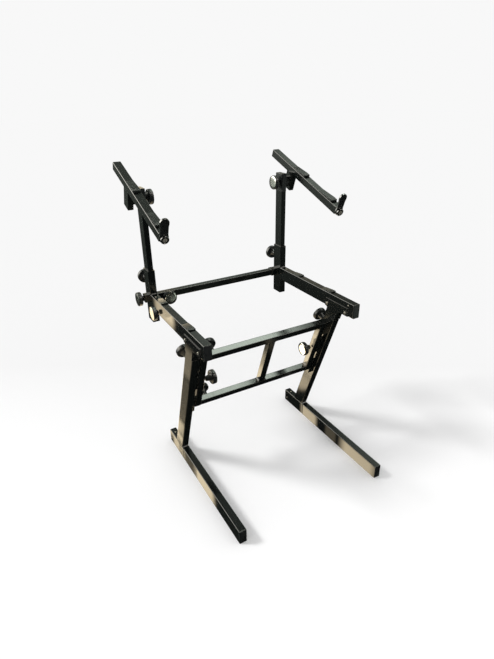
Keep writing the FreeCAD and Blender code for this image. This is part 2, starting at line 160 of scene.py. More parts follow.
class StandFinish(bpy.types.PropertyGroup):
    coat: colour("Powder coat", "Satin black of the outer tubes", "#090B0A")
    coat_shade: colour("Powder coat shade", "Second black that clouds the first", "#0F1211")
    slide_coat: colour("Slide coat", "Black of the tubes that slide", "#090B0A")
    worn_edge: colour("Worn edge", "Bare grey where the coat is rubbed thin on edges", "#7D7A70")
    plastic: colour("Moulded plastic", "Black of the knobs and caps", "#0D0F0F")
    rubber: colour("Rubber", "Grey-black of the pads", "#171A19")
    rubber_dust: colour("Rubber dust", "Paler dust in the grain of the rubber", "#3B3D39")
    vinyl: colour("Dipped vinyl", "Black skin of the stops", "#090B0B")
    zinc: colour("Zinc plate", "Studs, bolts and screws", "#A9A598")
    spun_face: colour("Spun aluminium", "Round inserts in the knobs", "#ECEAE4")


class StandSizes(bpy.types.PropertyGroup):
    knob_radius: length("Knob radius", "Outer radius of a knob head", 26.5)
    knob_depth: length("Knob depth", "Thickness of a knob head", 16.0)
    knob_face: length("Knob face radius", "Radius of the recess that holds the insert", 24.2)
    flute_depth: length("Flute depth", "Depth of the grip flutes in the rim", 0.9)
    stud_radius: length("Stud radius", "Outer radius of the threaded studs", 4.0)
    thread_pitch: length("Thread pitch", "Distance from crest to crest on a stud", 1.25)
    pad_land: length("Pad land", "Flat at the front end of a pad, before it slopes down", 18.0)
    pad_tail: length("Pad tail", "Thickness of a pad at the end of its slope", 0.8)
    pad_groove: length("Pad groove", "Depth of the grooves across the land of a pad", 0.6)
    groove_slope: length("Groove slope", "How far the walls of a pad's groove lean in", 0.4)
    pad_corner: length("Pad corner", "Radius of the upright corners of a pad", 2.0)
    pad_edge: length("Pad edge", "Radius of the rounded edges of a pad", 0.3)
    bolt_radius: length("Bolt head radius", "Radius of the button heads on the T plates", 5.5)
    bolt_height: length("Bolt head height", "Height of the button heads on the T plates", 3.2)
    bolt_socket: length("Bolt socket", "Radius of the hexagon socket in a button head", 2.6)
    bolt_inset: length("Bolt inset", "From the end of a T plate to the middle of its bolt", 14.0)
    bolt_drop: length("Bolt drop", "From the top of a T plate to the middle of its bolt", 17.0)
    screw_radius: length("Screw head radius", "Radius of the small screws in foot sleeves and arms", 3.4)
    screw_height: length("Screw head height", "Height of the small screws", 1.5)
    screw_socket: length("Screw socket", "Radius of the hexagon socket in a small screw", 1.6)
    sleeve_screw_inset: length("Sleeve screw inset", "From a foot sleeve's rear end to its upper screw", 28.5)
    side_screw_inset: length("Side screw inset", "From a foot sleeve's rear end to its side screw", 12.5)
    side_screw_height: length("Side screw height", "From the floor to the side screw of a foot sleeve", 16.0)
    arm_screw_inset: length("Arm screw inset", "From a lower arm's front end to its inner screw", 27.0)
    arm_screw_drop: length("Arm screw drop", "From a lower arm's top to its inner screw", 12.0)
    top_screw_inset: length("Top screw inset", "From a lower arm's rear end to its upper screw", 32.0)
    weld_run: length("Weld run", "Length of the weld fillets at the legs and posts", 20.0)
    weld_leg: length("Weld leg", "Height of the weld fillets in the ladder", 8.0)
    foot_seam: length("Foot seam", "Gap between a foot and its sleeve", 2.0)
    # The dark bands in the foot seams are painted shade: they stand in for the shade in the gap
    shade_band_run: length("Shade band run", "How far a seam shade band reaches along the foot", 4.5)
    shade_band_rise: length("Shade band rise", "How far a seam shade band stands out of the tube", 0.25)
    shade_band_wall: length("Shade band wall", "How deep a seam shade band reaches into the seam", 2.0)
    shade_band_corner: length("Shade band corner", "Radius of the corners of a seam shade band", 2.5)
    stop_edge: length("Stop edge", "Radius of the rounded edges of a stop", 1.6)
    stop_waist: length("Stop waist", "How much narrower each side of a stop is at its middle", 1.6)


class StandStage(bpy.types.PropertyGroup):
    camera_place: bpy.props.FloatVectorProperty(
        name="Camera place", description="Where the camera stands", subtype="TRANSLATION", unit="LENGTH",
        default=(-0.78599, -1.336175, 1.30727))
    camera_azimuth: bpy.props.FloatProperty(
        name="Camera azimuth", description="Turn of the camera about the stand", subtype="ANGLE",
        default=math.radians(-29.27))
    camera_elevation: bpy.props.FloatProperty(
        name="Camera elevation", description="How far the camera looks down", subtype="ANGLE",
        default=math.radians(26.66))
    camera_roll: bpy.props.FloatProperty(
        name="Camera roll", description="Turn of the camera about its own line of sight", subtype="ANGLE",
        default=math.radians(-0.85))
    camera_lens: bpy.props.FloatProperty(
        name="Lens", description="Focal length for a 36 mm sensor along the taller side", unit="CAMERA",
        default=FOCAL_PIXELS / TALL_PIXELS * SENSOR)
    camera_shift: bpy.props.FloatVectorProperty(
        name="Lens shift", description="Shift of the picture as a share of its taller side", size=2,
        precision=6, default=tuple(shift / TALL_PIXELS for shift in SHIFT_PIXELS))
    # The floor colour goes from the near tone to the darker far tone with distance from the stand: painted
    # light falloff
    floor: colour("Floor", "Pale studio floor near the stand", "#FEFEFE")
    far_floor_painted_shade: colour("Far floor", "Pale studio floor further back", "#F0F0F0")
    backdrop: colour("Backdrop", "Plain tone behind the stand", "#F8F8F8")
    warm_card: colour("Warm card", "Cream light that the left sides mirror", "#F5E2BE")
    sky_card: colour("Sky card", "Cool light that the tops mirror", "#DCE8DA")
    window: colour("Window", "Bright light at the left that the rounded edges mirror", "#FAF6EC")


def feed(tree, node, inputs):
    """Feeds a node's inputs with values, with sockets, or with other nodes by their first live output."""
    for key, value in inputs.items():
        if isinstance(value, bpy.types.Node):
            value = next(socket for socket in value.outputs if socket.enabled)
        if isinstance(value, bpy.types.NodeSocket):
            tree.links.new(value, node.inputs[key])
        else:
            node.inputs[key].default_value = value


def add_node(tree, kind, inputs=None, **settings):
    """Adds a shader node with its own settings and with what feeds it."""
    made = tree.nodes.new("ShaderNode" + kind)
    for key, value in settings.items():
        setattr(made, key, value)
    feed(tree, made, inputs or {})
    return made


def new_material(name):
    """A new material's tree, its shader and the place of the surface in metres."""
    material = bpy.data.materials.new(name)
    material.use_nodes = True
    tree = material.node_tree
    place = add_node(tree, "TexCoord").outputs["Object"]
    return tree, tree.nodes["Principled BSDF"], place


def opaque(rgb):
    return (*rgb, 1.0)


# Powder coat on welded steel tube: a satin black skin with a faint orange peel, cloudy gloss
# where hands and covers have rubbed it, and thin grey lines where edges are worn through.
def powder_coated_steel(name, base, shade, worn, scuff_shares):
    tree, shader, place = new_material(name)
    cloud_size, scuff_size, peel_size, peel_depth = 70 * MM, 6 * MM, 2.4 * MM, 0.3 * MM
    cloud = add_node(tree, "TexNoise", {"Vector": place, "Scale": 1 / cloud_size, "Detail": 3.0})
    tone = add_node(tree, "Mix", {"Factor": cloud, "A": opaque(base), "B": opaque(shade)}, data_type="RGBA")
    drawn = add_node(tree, "Mapping", {"Vector": place, "Scale": scuff_shares})
    scuff = add_node(tree, "TexNoise", {"Vector": drawn, "Scale": 1 / scuff_size, "Detail": 4.0,
                                        "Roughness": 0.65})
    gloss = add_node(tree, "MapRange", {"Value": scuff, "From Min": 0.3, "From Max": 0.7,
                                        "To Min": 0.10, "To Max": 0.19})
    edge = worn_edges(tree, place)
    bare = add_node(tree, "Mix", {"Factor": edge, "A": tone, "B": opaque(worn)}, data_type="RGBA")
    dull = add_node(tree, "Mix", {"Factor": edge, "A": gloss, "B": 0.42})
    peel = add_node(tree, "TexNoise", {"Vector": place, "Scale": 1 / peel_size, "Detail": 1.0})
    bump = add_node(tree, "Bump", {"Height": peel, "Strength": 0.03, "Distance": peel_depth})
    feed(tree, shader, {"Base Color": bare, "Roughness": dull, "Normal": bump})


def worn_edges(tree, place):
    """A mask of sharp edges, broken up by a grain of a few millimetres."""
    edge_radius, grain_size = 0.9 * MM, 9 * MM
    rounded = add_node(tree, "Bevel", {"Radius": edge_radius}, samples=6)
    flat = add_node(tree, "NewGeometry").outputs["Normal"]
    match = add_node(tree, "VectorMath", {0: rounded, 1: flat}, operation="DOT_PRODUCT")
    rim = add_node(tree, "MapRange", {"Value": match, "From Min": 0.985, "From Max": 0.86})
    grain = add_node(tree, "TexNoise", {"Vector": place, "Scale": 1 / grain_size, "Detail": 5.0})
    spread = add_node(tree, "MapRange", {"Value": grain, "From Min": 0.36, "From Max": 0.62,
                                         "To Min": 0.4, "To Max": 0.75})
    return add_node(tree, "Math", {0: rim, 1: spread}, operation="MULTIPLY")


# Moulded plastic: an even fine spark texture, soft gloss and faint paler rubbing. The dipped vinyl of the
# stops has a clear wet-looking skin over it, and the matt black bands in the foot seams, which are painted
# shade, have next to no shine.
def moulded_plastic(name, base, rough, shine, skin=0.0):
    tree, shader, place = new_material(name)
    rub_size, spark_size, spark_depth = 14 * MM, 0.8 * MM, 0.1 * MM
    rub = add_node(tree, "TexNoise", {"Vector": place, "Scale": 1 / rub_size, "Detail": 4.0})
    pale = tuple(part * 2.6 + 0.004 for part in base)
    tone = add_node(tree, "Mix", {"Factor": rub, "A": opaque(base), "B": opaque(pale)}, data_type="RGBA")
    gloss = add_node(tree, "MapRange", {"Value": rub, "From Min": 0.3, "From Max": 0.7,
                                        "To Min": rough, "To Max": rough + 0.14})
    spark = add_node(tree, "TexVoronoi", {"Vector": place, "Scale": 1 / spark_size})
    bump = add_node(tree, "Bump", {"Height": spark, "Strength": 0.12, "Distance": spark_depth})
    feed(tree, shader, {"Base Color": tone, "Roughness": gloss, "Normal": bump,
                        "Specular IOR Level": shine, "Coat Weight": skin, "Coat Roughness": 0.06})


# Moulded rubber: grey-black with a low sheen and a sandy grain that holds a little pale dust.
def moulded_rubber(name, base, dust):
    tree, shader, place = new_material(name)
    grain_size, patch_size, grain_depth = 1.2 * MM, 18 * MM, 0.1 * MM
    grain = add_node(tree, "TexNoise", {"Vector": place, "Scale": 1 / grain_size, "Detail": 4.0})
    patch = add_node(tree, "TexNoise", {"Vector": place, "Scale": 1 / patch_size, "Detail": 3.0})
    settle = add_node(tree, "Math", {0: grain, 1: patch}, operation="MULTIPLY")
    film = add_node(tree, "MapRange", {"Value": settle, "From Min": 0.2, "From Max": 0.5, "To Max": 0.7})
    tone = add_node(tree, "Mix", {"Factor": film, "A": opaque(base), "B": opaque(dust)}, data_type="RGBA")
    gloss = add_node(tree, "MapRange", {"Value": film, "To Min": 0.22, "To Max": 0.4})
    bump = add_node(tree, "Bump", {"Height": grain, "Strength": 0.05, "Distance": grain_depth})
    feed(tree, shader, {"Base Color": tone, "Roughness": gloss, "Normal": bump})


# Zinc-plated steel: dull silver-grey with a cloudy chromate tint and duller patches.
def zinc_plated_steel(name, base):
    tree, shader, place = new_material(name)
    cloud_size = 5 * MM
    cloud = add_node(tree, "TexNoise", {"Vector": place, "Scale": 1 / cloud_size, "Detail": 4.0})
    dark = tuple(part * 0.45 for part in base)
    tone = add_node(tree, "Mix", {"Factor": cloud, "A": opaque(dark), "B": opaque(base)}, data_type="RGBA")
    gloss = add_node(tree, "MapRange", {"Value": cloud, "To Min": 0.28, "To Max": 0.5})
    feed(tree, shader, {"Base Color": tone, "Roughness": gloss, "Metallic": 0.6})


# Spun aluminium under clear lacquer: rings from the turning tool, drawn as coarse as 0.6 mm so that they
# show.
# The bright wedges across the disc are painted highlights: the base colour turns lighter and darker around
# it.
def spun_aluminium(name, base):
    tree, shader, place = new_material(name)
    ring_size, ring_depth, smear_size, wedges = 0.6 * MM, 0.01 * MM, 8 * MM, 3
    disc = add_node(tree, "UVMap", uv_map="face")
    rings = add_node(tree, "TexWave", {"Vector": disc, "Scale": 1 / (20 * ring_size), "Distortion": 0.6,
                                       "Detail": 1.0}, wave_type="RINGS", rings_direction="Z").outputs["Fac"]
    # Painted highlight: tint rises and falls in wedges around the disc, and tone mixes a darker copy of the
    # metal colour with the full one by it
    sweep = add_node(tree, "TexGradient", {"Vector": disc}, gradient_type="RADIAL").outputs["Fac"]
    turn = add_node(tree, "Math", {0: sweep, 1: wedges * FULL_TURN}, operation="MULTIPLY")
    highlight_wave = add_node(tree, "Math", {0: turn}, operation="SINE")
    tint = add_node(tree, "MapRange", {"Value": highlight_wave, "From Min": -1.0, "To Min": 0.55})
    dark = tuple(part * 0.5 for part in base)
    tone = add_node(tree, "Mix", {"Factor": tint, "A": opaque(dark), "B": opaque(base)}, data_type="RGBA")
    smear = add_node(tree, "TexNoise", {"Vector": place, "Scale": 1 / smear_size, "Detail": 3.0})
    gloss = add_node(tree, "MapRange", {"Value": smear, "To Min": 0.12, "To Max": 0.22})
    bump = add_node(tree, "Bump", {"Height": rings, "Strength": 0.15, "Distance": ring_depth})
    feed(tree, shader, {"Base Color": tone, "Roughness": gloss, "Normal": bump, "Metallic": 1.0})


def finish_of(name):
    """A finish that an earlier operator made."""
    return bpy.data.materials[name]


def deselect():
    """Leaves edit mode and selects nothing, so that the next operator acts on its own piece."""
    if bpy.context.mode != "OBJECT":
        bpy.ops.object.mode_set(mode="OBJECT")
    bpy.ops.object.select_all(action="DESELECT")


def activate(piece):
    deselect()
    piece.select_set(True)
    bpy.context.view_layer.objects.active = piece


def rename(piece, name):
    piece.name = name
    piece.data.name = name
    return piece


def edit(piece):
    activate(piece)
    bpy.ops.object.mode_set(mode="EDIT")


def pick(piece, test, kind="faces"):
    """In edit mode, selects the faces, edges or vertices that pass the test and nothing else."""
    bpy.ops.mesh.select_mode(type={"faces": "FACE", "edges": "EDGE", "verts": "VERT"}[kind])
    bpy.ops.mesh.select_all(action="DESELECT")
    mesh = bmesh.from_edit_mesh(piece.data)
    for item in getattr(mesh, kind):
        if test(item):
            item.select_set(True)
    mesh.select_flush_mode()
    bmesh.update_edit_mesh(piece.data)


def close_up(piece):
    """Ends edit mode with merged seams, outward faces and smooth rounds."""
    bpy.ops.mesh.select_all(action="SELECT")
    bpy.ops.mesh.remove_doubles(threshold=MERGE)
    bpy.ops.mesh.normals_make_consistent(inside=False)
    bpy.ops.object.mode_set(mode="OBJECT")
    bpy.ops.object.shade_smooth_by_angle(angle=SMOOTH_BELOW)
    return piece


def bevel_edges(piece, width, segments, angle):
    """Rounds every edge that is sharper than the angle."""
    activate(piece)
    bevel = piece.modifiers.new("rounds", "BEVEL")
    bevel.width = width
    bevel.segments = segments
    bevel.limit_method = "ANGLE"
    bevel.angle_limit = angle
    bpy.ops.object.modifier_apply(modifier=bevel.name)
    bpy.ops.object.shade_smooth_by_angle(angle=SMOOTH_BELOW)
    return piece


def cut_away(piece, cutter):
    """Takes the cutter's form out of the piece."""
    activate(piece)
    hole = piece.modifiers.new("recess", "BOOLEAN")
    hole.operation = "DIFFERENCE"
    hole.object = cutter
    hole.solver = "EXACT"
    bpy.ops.object.modifier_apply(modifier=hole.name)
    bpy.data.objects.remove(cutter)
    return piece


def disc(name, sides, radius, **where):
    """A flat disc, open in edit mode."""
    deselect()
    bpy.ops.mesh.primitive_circle_add(vertices=sides, radius=radius, fill_type="NGON", **where)
    piece = rename(bpy.context.object, name)
    bpy.ops.object.transform_apply()
    bpy.ops.object.mode_set(mode="EDIT")
    return piece


def turned(name, stations, sides):
    """A turned form about +Z: a disc that is drawn out and resized from station to station."""
    radius, height = stations[0]
    piece = disc(name, sides, radius, location=(0, 0, height))
    for (from_radius, from_height), (to_radius, to_height) in zip(stations, stations[1:]):
        share = to_radius / from_radius
        bpy.ops.mesh.extrude_region_move(TRANSFORM_OT_translate={"value": (0, 0, to_height - from_height)})
        bpy.ops.transform.resize(value=(share, share, 1), center_override=(0, 0, to_height))
    return close_up(piece)


def outline(points, lift=0.0):
    """An outline in millimetres as stations in metres, lifted along Z."""
    return [(radius * MM, lift + height * MM) for radius, height in points]


def block(name, centre, size):
    """A block at its size and place, open in edit mode."""
    deselect()
    bpy.ops.mesh.primitive_cube_add(size=1, location=centre)
    piece = rename(bpy.context.object, name)
    piece.scale = size
    bpy.ops.object.transform_apply()
    bpy.ops.object.mode_set(mode="EDIT")
    return piece


def slice_across(point, normal):
    """In edit mode, cuts the whole mesh along a plane and keeps both sides."""
    bpy.ops.mesh.select_all(action="SELECT")
    bpy.ops.mesh.bisect(plane_co=point, plane_no=normal)


def hand_over(piece, finish, body, slot, node=None):
    """Gives a piece its finish, the body that it rides on and the node that it stands for."""
    piece.data.materials.clear()
    piece.data.materials.append(finish_of(finish))
    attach(piece, body)
    if node:
        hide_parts(node)


def set_copy(master, name, place, *looks):
    """Sets a copy with its own mesh in its place for good and hands it over with its looks."""
    activate(master)
    bpy.ops.object.duplicate(linked=False)
    copy = rename(bpy.context.object, name)
    copy.matrix_world = place
    bpy.ops.object.transform_apply()
    hand_over(copy, *looks)


def discard(*masters):
    for master in masters:
        bpy.data.objects.remove(master)


def body_of_node(node):
    return frame["nodes"][node]["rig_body"]


def points_of(node):
    """The corners of a node's mesh."""
    return [vertex.co for vertex in frame["nodes"][node].data.vertices]


def turned_box(node, turn):
    """Lowest and highest corner of a node in a frame that is turned about X."""
    back = Matrix.Rotation(-turn, 3, "X")
    points = [back @ point for point in points_of(node)]
    low = Vector([min(point[i] for point in points) for i in range(3)])
    high = Vector([max(point[i] for point in points) for i in range(3)])
    return low, high


def lean_angle():
    axis = JOINTS["deck_height"]["axis"]
    return math.atan2(-axis[1], axis[2])


def tilt_angle():
    axis = JOINTS["left_stop_turn"]["axis"]
    return math.atan2(-axis[2], -axis[1])


def axis_place(point, axis):
    """A place whose +Z runs along the axis."""
    return Matrix.Translation(point) @ Vector(axis).to_track_quat("Z", "Y").to_matrix().to_4x4()


class STAND_OT_finishes(bpy.types.Operator):
    """Makes the finishes and puts them on the tubes and caps of the frame"""
    bl_idname = "stand.finishes"
    bl_label = "Finishes"

    def execute(self, context):
        finish = context.scene.stand_finish
        shade, worn = finish.coat_shade, finish.worn_edge
        handled_shares, slid_shares = (1.0, 0.25, 0.35), (1.6, 1.6, 0.12)
        powder_coated_steel("satin powder coat", finish.coat, shade, worn, handled_shares)
        powder_coated_steel("rubbed powder coat", finish.slide_coat, shade, worn, slid_shares)
        moulded_plastic("moulded black plastic", finish.plastic, 0.24, 0.5)
        moulded_plastic("dipped vinyl", finish.vinyl, 0.12, 1.0, 1.0)
        # Painted shade: a near-black matt finish for the bands in the foot seams
        moulded_plastic("matt black seam shade", finish.vinyl, 0.6, 0.1)
        moulded_rubber("moulded rubber", finish.rubber, finish.rubber_dust)
        zinc_plated_steel("zinc plated steel", finish.zinc)
        spun_aluminium("spun aluminium", finish.spun_face)
        by_slot = {"outer_tube": "satin powder coat", "inner_tube": "rubbed powder coat",
                   "end_cap": "moulded black plastic", "knob": "moulded black plastic",
                   "pad": "moulded rubber", "stop": "dipped vinyl", "screw": "zinc plated steel"}
        for node, slot in SLOTS.items():
            for place in frame["nodes"][node].material_slots:
                place.material = finish_of(by_slot[slot])
        return {"FINISHED"}


class STAND_OT_knobs(bpy.types.Operator):
    """Builds the clamp knobs: a fluted head with a spun insert, a hub and a threaded stud"""
    bl_idname = "stand.knobs"
    bl_label = "Clamp knobs"

    def execute(self, context):
        sizes = context.scene.stand_sizes
        insert = self.insert(sizes)
        heads = {}
        studs = {}
        for node in KNOBS:
            joint = JOINTS[node + "_turn"]
            place = axis_place(joint["pos_m"], joint["axis"])
            hub, tip = self.reach(node, place, sizes)
            if hub not in heads:
                heads[hub] = self.head(sizes, hub)
            if tip not in studs:
                studs[tip] = self.stud(sizes, tip)
            set_copy(heads[hub], node + "_head", place, "moulded black plastic", node, "knob", node)
            set_copy(insert, node + "_face", place, "spun aluminium", node, "screw")
            set_copy(studs[tip], node + "_stud", place, "zinc plated steel", node, "screw")
        discard(insert, *heads.values(), *studs.values())
        return {"FINISHED"}

    def reach(self, node, place, sizes):
        """How far the hub and the tip of the stud stand behind the head, from the solid."""
        back = place.inverted()
        points = [back @ point for point in points_of(node)]
        wide = [p.z for p in points if p.xy.length > 1.5 * sizes.stud_radius]
        return round(-min(wide) / MM) * MM, -min(p.z for p in points)

    def head(self, sizes, hub):
        rim = sizes.knob_radius
        face = sizes.knob_face
        depth = sizes.knob_depth
        stations = outline(KNOB_HUB, -hub) + outline(KNOB_BACK)
        stations += [(rim - inward * MM, height * MM) for inward, height in KNOB_RISE]
        stations += [(rim - inward * MM, depth - back * MM) for inward, back in KNOB_FRONT]
        stations += [(face + outward * MM, depth - back * MM) for outward, back in KNOB_RECESS]
        head = turned("knob_head", stations, 3 * FLUTES)
        edit(head)
        step = FULL_TURN / FLUTES
        pick(head, lambda v: v.co.xy.length > rim - NEAR and
             abs(math.remainder(math.atan2(v.co.y, v.co.x), step)) < 0.2 * step, "verts")
        share = 1 - sizes.flute_depth / rim
        bpy.ops.transform.resize(value=(share, share, 1), center_override=(0, 0, 0))
        return close_up(head)

    def insert(self, sizes):
        gap, thickness = 0.25 * MM, 1.6 * MM
        face = sizes.knob_face - gap
        low = sizes.knob_depth - thickness
        stations = [(face - inward * MM, low + height * MM) for inward, height in INSERT_EDGE]
        stations += [(share * face, low + height * MM) for share, height in INSERT_DOME_SHARES]
        insert = turned("knob_face", stations, 72)
        flat = insert.data.uv_layers.new(name="face")
        for loop in insert.data.loops:
            flat.data[loop.index].uv = insert.data.vertices[loop.vertex_index].co.xy
        return insert

    def stud(self, sizes, tip):
        crest = sizes.stud_radius
        root = crest - 0.55 * sizes.thread_pitch
        stations = [(root, -tip), (crest, -tip + sizes.thread_pitch)]
        height = stations[-1][1]
        while height < sizes.thread_pitch:
            height += 0.5 * sizes.thread_pitch
            stations.append((root if stations[-1][0] == crest else crest, height))
        return turned("knob_stud", stations, 20)


class STAND_OT_pads(bpy.types.Operator):
    """Builds the grooved rubber pads on the lower and upper arms"""
    bl_idname = "stand.pads"
    bl_label = "Rubber pads"

    def execute(self, context):
        sizes = context.scene.stand_sizes
        masters = {}
        for node in PADS:
            turn = tilt_angle() if node.startswith("upper") else 0.0
            low, high = turned_box(node, turn)
            size = tuple(round(part, 5) for part in high - low)
            if size not in masters:
                masters[size] = self.pad(sizes, Vector(size))
            middle = (low + high) / 2
            foot = Vector((middle.x, middle.y, low.z))
            place = Matrix.Rotation(turn, 4, "X") @ Matrix.Translation(foot)
            body = body_of_node(node)
            set_copy(masters[size], node + "_grooved", place, "moulded rubber", body, "pad", node)
        discard(*masters.values())
        return {"FINISHED"}

    def pad(self, sizes, size):
        """A wedge with a grooved land at its front end and a slope that ends in a thin tail."""
        front, rear = -size.y / 2, size.y / 2
        land = front + sizes.pad_land
        pad = block("pad", (0, 0, size.z / 2), size)
        slice_across((0, land, 0), (0, 1, 0))
        pick(pad, lambda v: v.co.y > 0.9 * rear and v.co.z > 0.5 * size.z, "verts")
        bpy.ops.transform.translate(value=(0, 0, sizes.pad_tail - size.z))
        pick(pad, lambda e: all(v.co.y < 0.9 * front for v in e.verts) and
             abs(e.verts[0].co.z - e.verts[1].co.z) > 0.5 * size.z, "edges")
        bpy.ops.mesh.bevel(offset=sizes.pad_corner, segments=4, affect="EDGES")
        for step in [middle + half for middle in PAD_GROOVES for half in (-GROOVE_HALF, GROOVE_HALF)]:
            slice_across((0, front + step * MM, 0), (0, 1, 0))
        pick(pad, lambda f: f.normal.z > 0.9 and f.calc_center_median().z > 0.98 * size.z and
             round((f.calc_center_median().y - front) / MM) in PAD_GROOVES)
        bpy.ops.mesh.inset(thickness=sizes.groove_slope, use_individual=True)
        bpy.ops.transform.translate(value=(0, 0, -sizes.pad_groove))
        close_up(pad)
        return bevel_edges(pad, sizes.pad_edge, 2, math.radians(45))


class STAND_OT_fasteners(bpy.types.Operator):
    """Builds the bolts and nuts of the T plates and the small screws of the foot sleeves and arms"""
    bl_idname = "stand.fasteners"
    bl_label = "Bolts and screws"

    def execute(self, context):
        sizes = context.scene.stand_sizes
        bolt = self.button_head(sizes.bolt_radius, sizes.bolt_height, sizes.bolt_socket)
        nut = self.nut(sizes.bolt_radius)
        screw = self.button_head(sizes.screw_radius, sizes.screw_height, sizes.screw_socket)
        for side, sign in SIDES.items():
            self.plate_bolts(sizes, side, sign, bolt, nut)
            self.sleeve_screws(sizes, side, screw)
            self.arm_screws(sizes, side, sign, screw)
        discard(bolt, nut, screw)
        return {"FINISHED"}

    def button_head(self, radius, height, socket):
        stations = [(radius, -SINK), (radius, 0.25 * height), (0.93 * radius, 0.55 * height),
                    (0.76 * radius, 0.85 * height), (0.55 * radius, height)]
        head = turned("button_head", stations, 40)
        key = turned("hex_key", [(socket, 0.4 * height), (socket, 2 * height)], 6)
        cut_away(head, key)
        edit(head)
        return close_up(head)

    def nut(self, radius):
        wide = 1.15 * radius
        flat, top, tip, edge = 3.4 * MM, 4.2 * MM, 6.2 * MM, 0.3 * MM
        stations = [(wide, -SINK), (wide, flat), (0.86 * wide, top), (0.5 * wide, top),
                    (0.5 * wide, tip - 2 * edge), (0.38 * wide, tip)]
        return bevel_edges(turned("nut", stations, 6), edge, 2, math.radians(30))

    def plate_bolts(self, sizes, side, sign, bolt, nut):
        node = "t_bracket_" + side
        low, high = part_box(node)
        outer, inner = (high.x, low.x) if sign > 0 else (low.x, high.x)
        z = high.z - sizes.bolt_drop
        upper_edge = high.z - 5 * MM
        rear = max(point.y for point in points_of(node) if point.z > upper_edge)
        for end, y in {"front": low.y + sizes.bolt_inset, "rear": rear - sizes.bolt_inset}.items():
            outside = axis_place((outer, y, z), (sign, 0, 0))
            inside = axis_place((inner, y, z), (-sign, 0, 0))
            for kind, master, place in (("bolt", bolt, outside), ("nut", nut, inside)):
                name = "plate_%s_%s_%s" % (kind, end, side)
                set_copy(master, name, place, "zinc plated steel", body_of_node(node), "screw")

    def sleeve_screws(self, sizes, side, screw):
        node = "foot_sleeve_" + side
        low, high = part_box(node)
        middle = (low + high) / 2
        side_height = low.z + sizes.side_screw_height
        spots = {"top": ((middle.x, high.y - sizes.sleeve_screw_inset, high.z), (0, 0, 1)),
                 "side": ((low.x, high.y - sizes.side_screw_inset, side_height), (-1, 0, 0))}
        for where, (point, axis) in spots.items():
            self.drive_in(screw, "sleeve_screw_%s_%s" % (where, side), point, axis, node)

    def arm_screws(self, sizes, side, sign, screw):
        node = "arm_" + side
        low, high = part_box(node)
        inner = (low.x if sign > 0 else high.x, low.y + sizes.arm_screw_inset, high.z - sizes.arm_screw_drop)
        self.drive_in(screw, "arm_screw_" + side, inner, (-sign, 0, 0), node)
        top = ((low.x + high.x) / 2, high.y - sizes.top_screw_inset, high.z)
        self.drive_in(screw, "arm_top_screw_" + side, top, (0, 0, 1), node)

    def drive_in(self, screw, name, point, axis, node):
        set_copy(screw, name, axis_place(point, axis), "zinc plated steel", body_of_node(node), "screw")


class STAND_OT_seam_shade_bands(bpy.types.Operator):
    """Builds dark matt bands in the seam between each foot and its sleeve, as painted shade that darkens the
    seam
    """
    bl_idname = "stand.gaskets"
    bl_label = "Seam shade bands"

    def execute(self, context):
        sizes = context.scene.stand_sizes
        for side in SIDES:
            node = "foot_sleeve_" + side
            low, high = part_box(node)
            wide = Vector((sizes.shade_band_rise, 0, 0))
            tall = Vector((0, 0, sizes.shade_band_rise))
            deep = Vector((sizes.shade_band_wall, 0, sizes.shade_band_wall))
            seam = low.y - sizes.foot_seam / 2
            outside = (low - wide, high + wide + tall)
            inside = (low + deep, high - deep)
            # Painted shade: each band fills the seam gap with dark matt so that the seam reads as shaded
            ring = self.ring(sizes, "seam_shade_band_" + side, *outside, seam, sizes.shade_band_run)
            cut_away(ring, self.ring(sizes, "shade_band_hole", *inside, seam, 2 * sizes.shade_band_run))
            edit(ring)
            close_up(ring)
            hand_over(ring, "matt black seam shade", body_of_node(node), "end_cap")
        return {"FINISHED"}

    def ring(self, sizes, name, low, high, seam, run):
        """A block across the seam with the rounded corners of the tube."""
        middle = (low + high) / 2
        ring = block(name, (middle.x, seam, middle.z), (high.x - low.x, run, high.z - low.z))
        pick(ring, lambda e: abs(e.verts[0].co.y - e.verts[1].co.y) > 0.5 * run, "edges")
        bpy.ops.mesh.bevel(offset=sizes.shade_band_corner, segments=5, affect="EDGES")
        return close_up(ring)


